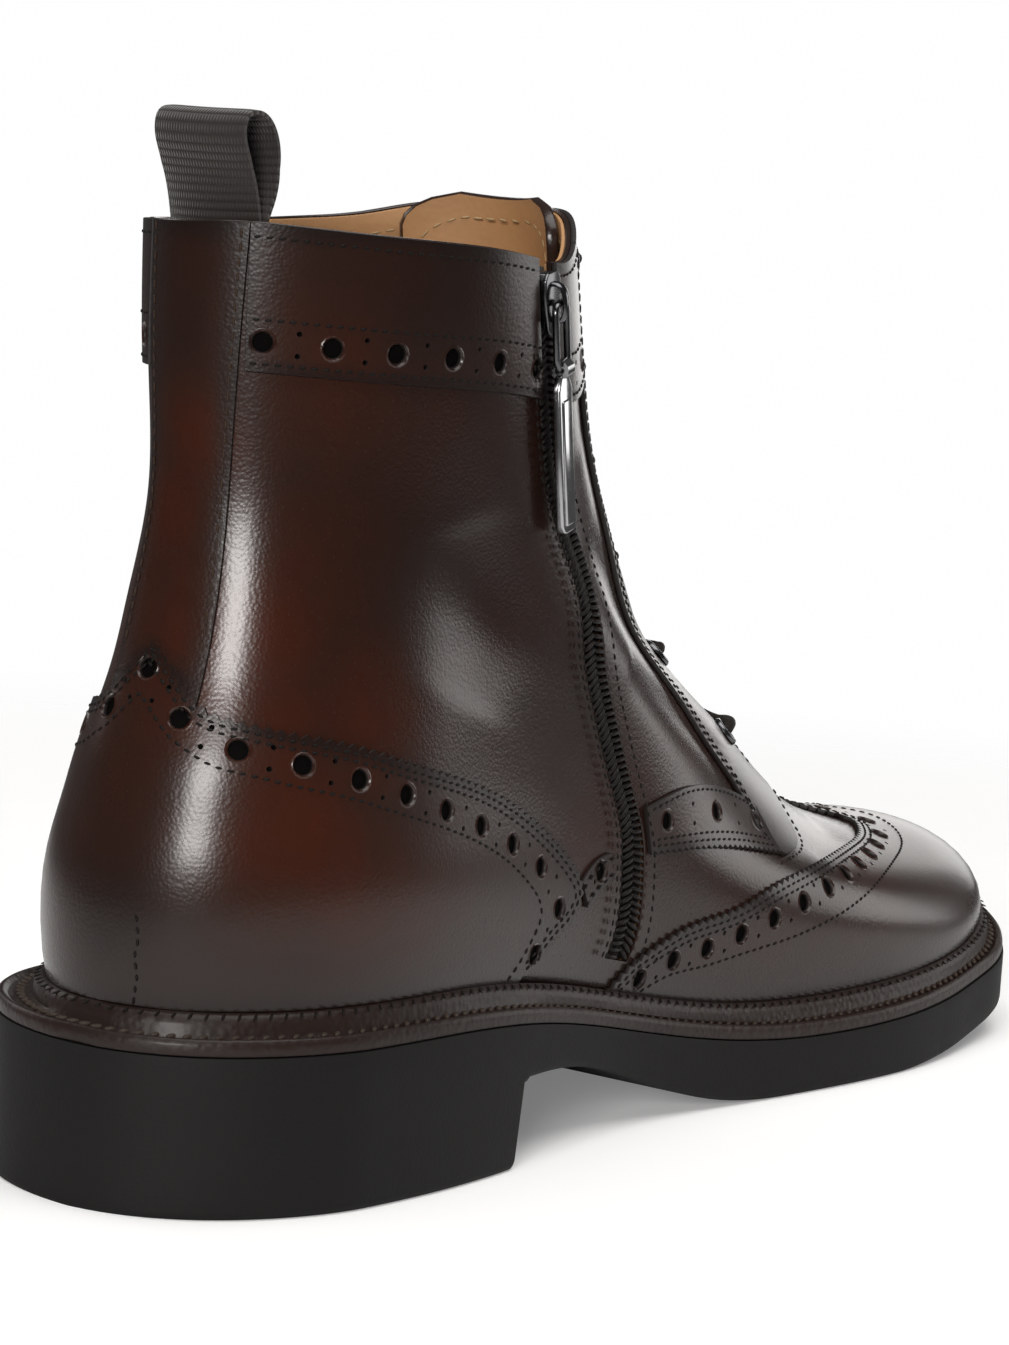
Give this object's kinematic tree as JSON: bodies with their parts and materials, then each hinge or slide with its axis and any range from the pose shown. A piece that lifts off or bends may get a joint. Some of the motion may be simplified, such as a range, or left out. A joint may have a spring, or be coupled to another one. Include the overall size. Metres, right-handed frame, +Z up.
{
  "type": "lace-up ankle boot with a side zip",
  "caption": "Left brogue ankle boot: wing toe cap, punched panels, side zip with a swinging pull, laces, heel loop and a moulded rubber sole.",
  "frame": {"origin": "on the floor, under the middle of the boot's bounding box", "axes": "+X to the toe, +Y to the outer side of the left foot, +Z up"},
  "size_m": [0.308, 0.1052, 0.199],
  "materials": {
    "upper_leather": "glossy burnished dark brown, fine grain",
    "lining_leather": "smooth matt tan",
    "welt_leather": "satin dark brown",
    "rubber_sole": "matt black, moulded",
    "webbing": "ribbed woven webbing, dark brown",
    "lace_cord": "waxed round cord, dark brown",
    "zip_fabric": "woven tape, dark brown",
    "zip_coil": "moulded coil, dark brown",
    "zip_metal": "dark gunmetal plating",
    "eyelet_metal": "dark gunmetal plating"
  },
  "bodies": {
    "boot": {"outsole": "rubber_sole", "welt": "welt_leather", "insole": "lining_leather", "upper": "upper_leather", "tongue": "upper_leather", "heel_counter": "upper_leather", "wing_cap": "upper_leather", "back_strip": "upper_leather", "collar_panel_inner": "upper_leather", "collar_panel_front": "upper_leather", "collar_panel_outer": "upper_leather", "facing_inner": "upper_leather", "facing_outer": "upper_leather", "quarter_band_inner": "upper_leather", "quarter_band_outer": "upper_leather", "zip_tape": "zip_fabric", "zip_chain": "zip_coil", "zip_slider": "zip_metal", "pull_loop": "webbing", "lace_crossings": "lace_cord", "eyelet_inner_1": "eyelet_metal", "eyelet_inner_2": "eyelet_metal", "eyelet_inner_3": "eyelet_metal", "eyelet_inner_4": "eyelet_metal", "eyelet_inner_5": "eyelet_metal", "eyelet_inner_6": "eyelet_metal", "eyelet_outer_1": "eyelet_metal", "eyelet_outer_2": "eyelet_metal", "eyelet_outer_3": "eyelet_metal", "eyelet_outer_4": "eyelet_metal", "eyelet_outer_5": "eyelet_metal", "eyelet_outer_6": "eyelet_metal"},
    "zip_link": {"zip_pull_link": "zip_metal"},
    "zip_tab": {"zip_pull_tab": "zip_metal"}
  },
  "joints": [
    {"name": "zip_link_swing", "type": "hinge", "parent": "boot", "child": "zip_link", "pos_m": [-0.06651, -0.04059, 0.16684], "axis": [-0.9607, -0.2048, -0.1872], "range_deg": [0, 120]},
    {"name": "zip_tab_swing", "type": "hinge", "parent": "zip_link", "child": "zip_tab", "pos_m": [-0.06413, -0.04042, 0.15446], "axis": [-0.9607, -0.2048, -0.1872], "range_deg": [0, 60]}
  ]
}
